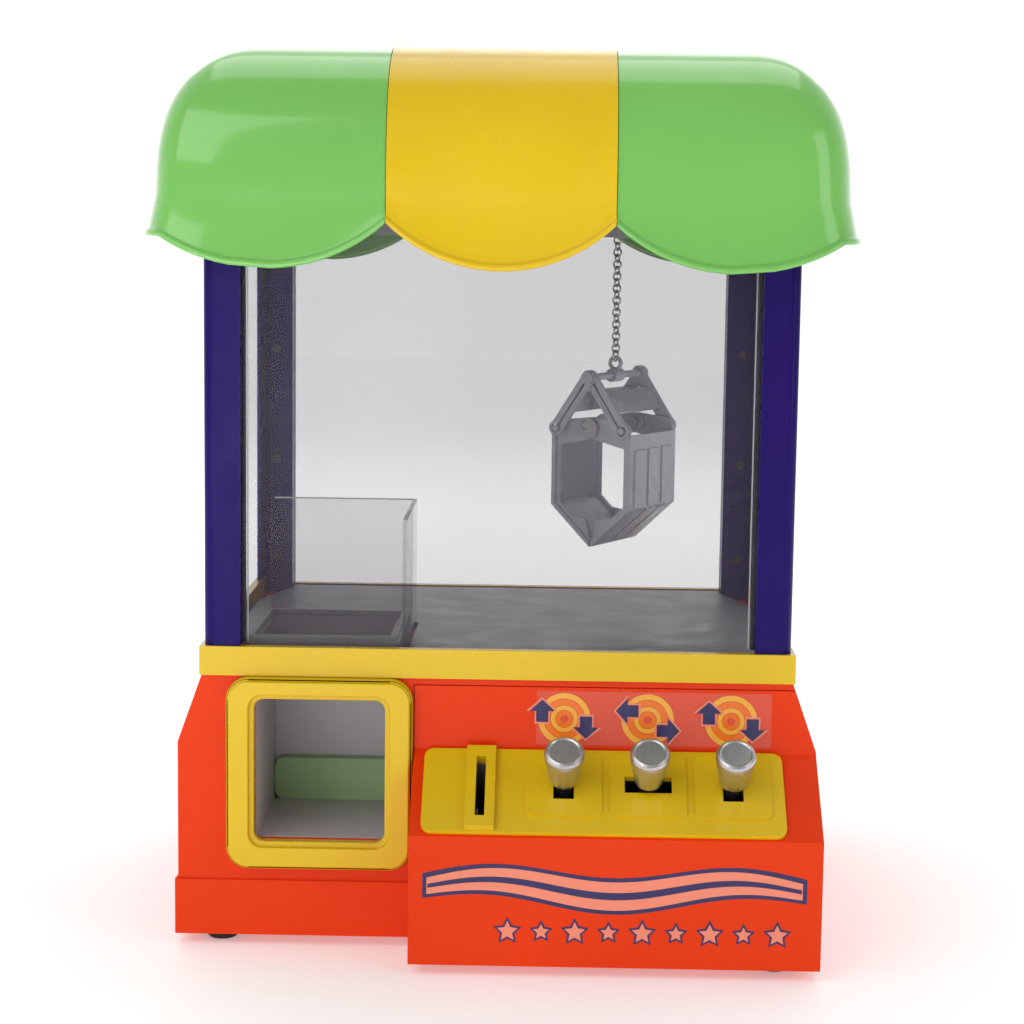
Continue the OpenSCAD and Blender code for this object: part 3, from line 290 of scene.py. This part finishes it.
CANOPY_LOW, CANOPY_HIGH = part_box("canopy_front_left")
CENTRE_LOW, CENTRE_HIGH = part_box("canopy_front_centre")
REAR_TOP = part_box("canopy_rear_left")[1].z / MM
FRONT_TOP = CANOPY_HIGH.z / MM
LIP = 1.4
FLARE = 3.0
CANOPY_HALF = -CANOPY_LOW.x / MM - LIP - FLARE
CANOPY_FRONT = (FRONT - CANOPY_LOW.y) / MM - LIP
PROUD = (CANOPY_LOW.y - CENTRE_LOW.y) / MM
HALF_D = HALF_DEPTH / MM
CROWN_HALF = 87
CROWN_DEPTH = HALF_D - 33
CENTRE_HALF = CENTRE_HIGH.x / MM
SEAM = 0.35
HEM_Z = 289
SIDE_DROP = 6
SCALLOP = 17.5
SPRING_Z = 300
SHELL = 2.0
DOME_POWER = 2.5
CORNER_POWER = 5
DOME_STEPS = 30
PROBE_ROW = 12


def arc_drop(distance, chord):
    """How far a scallop hangs at a distance from its middle."""
    radius = (chord * chord / 4 + SCALLOP * SCALLOP) / (2 * SCALLOP)
    return math.sqrt(max(0, radius * radius - distance * distance)) - (radius - SCALLOP)


def dome_rows(hem, top):
    """(height, share of the overhang, way out) from the hem up to the crown."""
    rows = [(hem, 1, LIP - 0.7), (hem + 0.25, 1, LIP - 0.2), (hem + 0.7, 1, LIP), (hem + 1.8, 1, LIP),
            (hem + 2.4, 1, LIP - 0.3), (hem + 2.9, 1, 0.25), (hem + 3.6, 1, 0), (SPRING_Z - 1, 1, 0)]
    for i in range(1, DOME_STEPS + 1):
        share = max(math.cos(math.radians(90 * i / DOME_STEPS)), 0.0001)
        rows.append((SPRING_Z + (top - SPRING_Z) * (1 - share ** DOME_POWER) ** (1 / DOME_POWER), share, 0))
    return rows


def side_flare(z):
    """How far the sides stand out at height z, below the dome's spring."""
    return FLARE * max(0, min(1, (SPRING_Z - z) / (SPRING_Z - HEM_Z)))


def corner_plan(kind, along, share, out, z):
    """A corner shell's outline point: on its front, round its corner or along its side."""
    ax = (CANOPY_HALF - CROWN_HALF + out + side_flare(z)) * share
    ay = (HALF_D + CANOPY_FRONT - CROWN_DEPTH + out) * share
    if kind == "front":
        return -along, -CROWN_DEPTH - ay
    if kind == "round":
        turn = math.radians(along)
        return (-CROWN_HALF - ax * math.sin(turn) ** (2 / CORNER_POWER),
                -CROWN_DEPTH - ay * math.cos(turn) ** (2 / CORNER_POWER))
    return -CROWN_HALF - ax, -CROWN_DEPTH * along - SEAM / 2 * (1 - along)


def corner_path():
    """The places along a corner shell's outline, from the centre panel round to the side's seam."""
    start = CENTRE_HALF + SEAM
    front = [("front", start + (CROWN_HALF - start) * i / 20) for i in range(21)]
    turn = [("round", 90 * i / 30) for i in range(1, 30)]
    side = [("side", 1 - i / 36) for i in range(37)]
    return front + turn + side


def hem_height(x, y):
    """One scallop on a corner panel's front, and a straight hem along its side."""
    reach = HALF_D + CANOPY_FRONT
    if abs(y) < CROWN_DEPTH + 0.9 * (reach - CROWN_DEPTH) or abs(x) > CANOPY_HALF:
        return HEM_Z - SIDE_DROP
    middle = (CENTRE_HALF + CANOPY_HALF) / 2
    least = SIDE_DROP if abs(x) > middle else 0
    return HEM_Z - max(least, arc_drop(abs(x) - middle, CANOPY_HALF - CENTRE_HALF))


def corner_rows(top):
    """Rows of points of a corner shell from its hem up, and the corner of its flat crown."""
    path = corner_path()
    hems = [hem_height(*corner_plan(kind, along, 1, 0, SPRING_Z)) for kind, along in path]
    columns = []
    for (kind, along), hem in zip(path, hems):
        columns.append([(*corner_plan(kind, along, share, out, z), z) for z, share, out in dome_rows(hem, top)])
    tip = (-CENTRE_HALF - SEAM, -SEAM / 2, top)
    return [list(row) for row in zip(*columns)], [tip]


def centre_rows(top):
    """Rows of points of a centre shell from its hem up, and the corners of its flat crown."""
    columns = []
    for i in range(49):
        x = CENTRE_HALF * (1 - i / 24)
        hem = HEM_Z - arc_drop(x, 2 * CENTRE_HALF)
        reach = HALF_D + CANOPY_FRONT + PROUD - CROWN_DEPTH
        columns.append([(x, -CROWN_DEPTH - (reach + out) * share, z) for z, share, out in dome_rows(hem, top)])
    return [list(row) for row in zip(*columns)], [(CENTRE_HALF, -SEAM / 2, top), (-CENTRE_HALF, -SEAM / 2, top)]


def canopy_shell(node, rows, tips, mirror_x, mirror_y, material):
    """One shell: the outer sheet with a flat crown, thickened inwards, standing for its CAD node."""
    def place(p):
        return Vector(((-p[0] if mirror_x else p[0]) * MM, (-p[1] if mirror_y else p[1]) * MM + MIDDLE, p[2] * MM))

    def fill(bm):
        grid = [[bm.verts.new(place(p)) for p in row] for row in rows]
        for low, high in zip(grid, grid[1:]):
            for i in range(len(low) - 1):
                bm.faces.new((low[i], low[i + 1], high[i + 1], high[i]))
        top = grid[-1]
        crown = [bm.verts.new(place(p)) for p in tips]
        for i in range(len(top) - 1):
            bm.faces.new((top[i], top[i + 1], crown[0]))
        if len(crown) == 2:
            bm.faces.new((top[-1], crown[1], crown[0]))
        bmesh.ops.remove_doubles(bm, verts=bm.verts, dist=0.000002)

    obj = piece(node + "_shell", fill, material)
    probe = obj.data.polygons[len(rows[0]) * PROBE_ROW]
    outward = probe.normal.dot(probe.center - Vector((0, MIDDLE, probe.center.z)))
    thick = obj.modifiers.new("thickness", "SOLIDIFY")
    thick.thickness = SHELL * MM
    thick.offset = -1 if outward > 0 else 1
    thick.use_even_offset = True
    thick.use_quality_normals = True
    rounds = obj.modifiers.new("rounds", "BEVEL")
    rounds.width = 0.35 * MM
    rounds.segments = 2
    rounds.limit_method = "ANGLE"
    rounds.angle_limit = math.radians(50)
    rounds.harden_normals = True
    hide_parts(node)
    return obj


for end, top, back in (("front", FRONT_TOP, False), ("rear", REAR_TOP, True)):
    corner, corner_tip = corner_rows(top)
    middle, middle_tips = centre_rows(top)
    green, yellow = MATERIALS["green_plastic"], MATERIALS["yellow_plastic"]
    canopy_shell(f"canopy_{end}_left", corner, corner_tip, False, back, green)
    canopy_shell(f"canopy_{end}_right", corner, corner_tip, True, back, green)
    canopy_shell(f"canopy_{end}_centre", middle, middle_tips, False, back, yellow)


# Carried-over CAD nodes -------------------------------------------------------------------------

ROUNDS = {
    "base_housing": 0.6, "console_housing": 0.7, "deck_bezel": 0.7, "prize_door_frame": 0.6,
    "control_panel": 0.35, "coin_slot_bar": 0.3, "deck_tray": 0.35, "post_front_left": 0.5,
    "post_front_right": 0.5, "post_rear_left": 0.5, "post_rear_right": 0.5, "jaw_right": 0.22,
    "jaw_left": 0.22, "link_right": 0.2, "link_left": 0.2, "ceiling_plate": 0.3, "prize_chute": 0.3,
    "battery_door": 0.4, "base_plate": 0.3, "landing_pad": 0.4,
}
SLOT_OF = {entry["node"]: entry["material_slot"] for entry in RECORD["subparts"]}
for name, node in NODES.items():
    material = CHUTE_GREY if name == "prize_chute" else MATERIALS[SLOT_OF[name]]
    node.data.materials.clear()
    node.data.materials.append(material)
    if name in ROUNDS:
        round_edges(node, ROUNDS[name] * MM)

# Labels -----------------------------------------------------------------------------------------

X = Vector((1, 0, 0))
UP = Vector((0, 0, 1))
STICK_X = (27, 60, 93)
FACE_Y = -1.0
LABEL_Z = 95
PRINT = 0.12


def printed(name, outline, x, y, z, layer, material, holes=()):
    """A printed shape on a face that looks to the front; each layer lies on the one below."""
    base = at(x, y - layer * PRINT, z)
    piece(name, plate(outline, base, X, UP, PRINT, holes), material, smooth=False)


def arrow(length, width, head, turn):
    """An arrow about its centre that points up, turned by quarter turns."""
    half = length / 2
    points = [(-width / 2, -half), (width / 2, -half), (width / 2, half - head), (width * 1.05, half - head),
              (0, half), (-width * 1.05, half - head), (-width / 2, half - head)]
    c, s = math.cos(turn), math.sin(turn)
    return [(a * c - b * s, a * s + b * c) for a, b in points]


film_left, film_right = 17, 108
film = [(-1, -10.5), (film_right - film_left + 1, -10.5), (film_right - film_left + 1, 11.2), (-1, 11.2)]
printed("label_film", film, film_left, FACE_Y, LABEL_Z, 0, LABEL_FILM)
for number, x in enumerate(STICK_X):
    rings = ((10.4, 8.2, PRINT_YELLOW), (8.0, 5.6, PRINT_ORANGE), (5.4, 3.6, PRINT_YELLOW), (3.4, 1.5, PRINT_ORANGE))
    for k, (outer, inner, paint) in enumerate(rings):
        printed(f"target_{number}_{k}", ring_points(outer), x, FACE_Y, LABEL_Z, 1, paint,
                holes=[ring_points(inner)])
    sideways = number == 1
    turns = (math.pi / 2, -math.pi / 2) if sideways else (0, math.pi)
    places = ((-8.2, 3.6), (8.2, -4.2)) if sideways else ((-8.8, 3.2), (8.6, -3.4))
    for k, (turn, (dx, dz)) in enumerate(zip(turns, places)):
        printed(f"arrow_edge_{number}_{k}", arrow(10.6, 6.0, 5.4, turn), x + dx, FACE_Y, LABEL_Z + dz, 2,
                PRINT_SALMON)
        printed(f"arrow_{number}_{k}", arrow(9.0, 4.8, 4.6, turn), x + dx, FACE_Y, LABEL_Z + dz, 3,
                PRINT_NAVY)

# A ribbon and a row of stars on the console's front
CONSOLE_FRONT = (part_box("console_housing")[0].y - FRONT) / MM
RIBBON_START, RIBBON_END = -25, 119


def ribbon(half, grow):
    """A waving band, half as high as 2 x half, with grow added round it."""
    count = 60
    line = []
    for i in range(count + 1):
        t = i / count
        a = RIBBON_START - grow + (RIBBON_END - RIBBON_START + 2 * grow) * t
        lift = 3.0 * math.sin(2 * math.pi * t * 1.5)
        swell = half * (0.55 + 0.45 * math.sin(math.pi * min(1, max(0, t)))) + grow
        line.append((a, lift, swell))
    return [(a, lift - swell) for a, lift, swell in line] + [(a, lift + swell) for a, lift, swell in reversed(line)]


def star(radius, inner):
    """A five-pointed star; inner is its waist's share of the radius."""
    return [((radius if i % 2 == 0 else radius * inner) * math.sin(math.pi * i / 5),
             (radius if i % 2 == 0 else radius * inner) * math.cos(math.pi * i / 5)) for i in range(10)]


printed("ribbon_edge", ribbon(5.2, 2.0), 0, CONSOLE_FRONT, 36, 0, PRINT_NAVY)
printed("ribbon_fill", ribbon(5.2, 0.4), 0, CONSOLE_FRONT, 36, 1, PRINT_SALMON)
printed("ribbon_core", ribbon(1.4, 0), 0, CONSOLE_FRONT, 36, 2, PRINT_NAVY)
for i in range(9):
    x = 6 + 13 * i
    size = 4.4 if i % 2 == 0 else 3.4
    printed(f"star_edge_{i}", star(size + 1.3, 0.52), x, CONSOLE_FRONT, 18.5, 0, PRINT_NAVY)
    printed(f"star_{i}", star(size - 0.2, 0.48), x, CONSOLE_FRONT, 18.5, 1, PRINT_SALMON)

# Painted shade and highlights at the pane and guard edges ------------------------------------

PANE_LOW, PANE_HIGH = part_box("front_window")
POST_IN = -POST_HIGH.x
PANE_T = 1.5
GUARD_T = 1.6
GUARD_EDGE = 0.45
GUARD_INSET = 1.5
STRIP_FOOT = 5.5
BEHIND_PANE = 0.1
pane_back = PANE_LOW.y + PANE_T * MM
guard_low, guard_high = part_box("chute_guard")


def strip(name, sign, from_x, to_x, depth, material):
    """An upright strip behind the front pane, from_x to to_x inside the post on one side."""
    xs = sorted((sign * (POST_IN - from_x * MM), sign * (POST_IN - to_x * MM)))
    low = Vector((xs[0], pane_back + BEHIND_PANE * MM, PANE_LOW.z + STRIP_FOOT * MM))
    high = Vector((xs[1], pane_back + depth * MM, PANE_HIGH.z))
    piece(name, bar(low, high), material, bevel=0.15 * MM)


for side, sign in (("left", -1), ("right", 1)):
    # A dark strip of painted shade in the recess beside the post
    strip(f"gasket_{side}", sign, 0.05, 1.4, 2.2, PAINTED_RECESS_SHADE)
    # A pale strip of painted highlight along the pane's edge
    strip(f"pane_edge_highlight_{side}", sign, 1.9, 2.5, 0.6, PAINTED_EDGE_HIGHLIGHT)

# Pale strips of painted highlight along the chute guard's top edges
edge_z = guard_high.z - GUARD_EDGE * MM
piece("guard_top_highlight_rear", bar(Vector((guard_low.x + GUARD_INSET * MM, guard_high.y - GUARD_T * MM, edge_z)), guard_high),
      PAINTED_EDGE_HIGHLIGHT)
piece("guard_top_highlight_side", bar(Vector((guard_high.x - GUARD_T * MM, guard_low.y + GUARD_INSET * MM, edge_z)),
                            Vector((guard_high.x, guard_high.y - GUARD_T * MM, guard_high.z))),
      PAINTED_EDGE_HIGHLIGHT)

# Floor, light and camera ------------------------------------------------------------------------


def floor():
    """A pale floor with a painted glow: emission that grows brighter away from the machine, up to the white behind it.
    """
    mesh = bpy.data.meshes.new("floor")
    bm = bmesh.new()
    bmesh.ops.create_grid(bm, x_segments=1, y_segments=1, size=4.0)
    bm.to_mesh(mesh)
    bm.free()
    obj = bpy.data.objects.new("floor", mesh)
    bpy.context.scene.collection.objects.link(obj)
    m = Nodes("floor")
    m.link(m.blend(m.spread(m.noise(5), 0, 1), (0.92, 0.92, 0.93), (0.95, 0.95, 0.95)),
           m.shader.inputs["Base Color"])
    m.shader.inputs["Roughness"].default_value = 0.7
    m.shader.inputs["Specular IOR Level"].default_value = 0.1
    # Painted glow: emission rising with distance, washing out the machine's shade and coloured bounce on the floor
    m.shader.inputs["Emission Color"].default_value = (1, 1, 1, 1)
    reach = m.add("ShaderNodeVectorMath", operation="LENGTH")
    m.link(m.place, reach.inputs[0])
    m.link(m.spread(reach.outputs["Value"], 0.28, 0.52, 0.25, 1.2), m.shader.inputs["Emission Strength"])
    mesh.materials.append(m.material)


def softbox(name, place, target, size, power):
    """A rectangular light at a place in metres, turned to its target."""
    light = bpy.data.lights.new(name, "AREA")
    light.shape = "RECTANGLE"
    light.size, light.size_y = size
    light.energy = power
    obj = bpy.data.objects.new(name, light)
    bpy.context.scene.collection.objects.link(obj)
    obj.location = place
    obj.rotation_euler = (Vector(target) - Vector(place)).to_track_quat("-Z", "Y").to_euler()


def world(front, back):
    """Soft studio light, stronger from behind the machine; seen directly it is white all round."""
    studio = bpy.data.worlds.new("studio")
    studio.use_nodes = True
    tree = studio.node_tree
    shade = tree.nodes["Background"]
    shade.inputs["Color"].default_value = (1.0, 1.0, 1.0, 1)
    coord = tree.nodes.new("ShaderNodeTexCoord")
    split = tree.nodes.new("ShaderNodeSeparateXYZ")
    tree.links.new(coord.outputs["Generated"], split.inputs["Vector"])
    spread = tree.nodes.new("ShaderNodeMapRange")
    spread.inputs["From Min"].default_value = -0.2
    spread.inputs["From Max"].default_value = 0.9
    spread.inputs["To Min"].default_value = front
    spread.inputs["To Max"].default_value = back
    tree.links.new(split.outputs["Y"], spread.inputs["Value"])
    path = tree.nodes.new("ShaderNodeLightPath")
    seen = tree.nodes.new("ShaderNodeMix")
    tree.links.new(path.outputs["Is Camera Ray"], seen.inputs["Factor"])
    tree.links.new(spread.outputs["Result"], seen.inputs["A"])
    seen.inputs["B"].default_value = back
    tree.links.new(seen.outputs["Result"], shade.inputs["Strength"])
    bpy.context.scene.world = studio


floor()
world(0.36, 1.12)
softbox("key", (-0.75, -0.9, 0.9), (0, 0, 0.2), (1.1, 0.8), 4.6)
softbox("fill", (1.0, -0.8, 0.6), (0, 0, 0.2), (0.5, 0.9), 2.0)
softbox("low", (-0.3, -0.9, 0.16), (-0.07, 0, 0.07), (0.5, 0.25), 1.1)
softbox("top", (0.0, 0.3, 1.3), (0, 0, 0.2), (1.0, 0.8), 3)
softbox("back", (0.0, 1.4, 0.9), (0, 0.8, 0.0), (1.6, 0.9), 3.5)

camera = bpy.data.objects.new("camera", bpy.data.cameras.new("camera"))
bpy.context.scene.collection.objects.link(camera)
camera.data.lens = 79.7
camera.data.sensor_width = 36
camera.matrix_world = (Matrix.Translation(at(19.18, -883, 288.1)) @ Matrix.Rotation(math.radians(0.91), 4, "Z")
                       @ Matrix.Rotation(math.radians(90 - 7.16), 4, "X") @ Matrix.Rotation(math.radians(0.75), 4, "Z"))
bpy.context.scene.camera = camera
bpy.context.scene.view_settings.view_transform = "Standard"
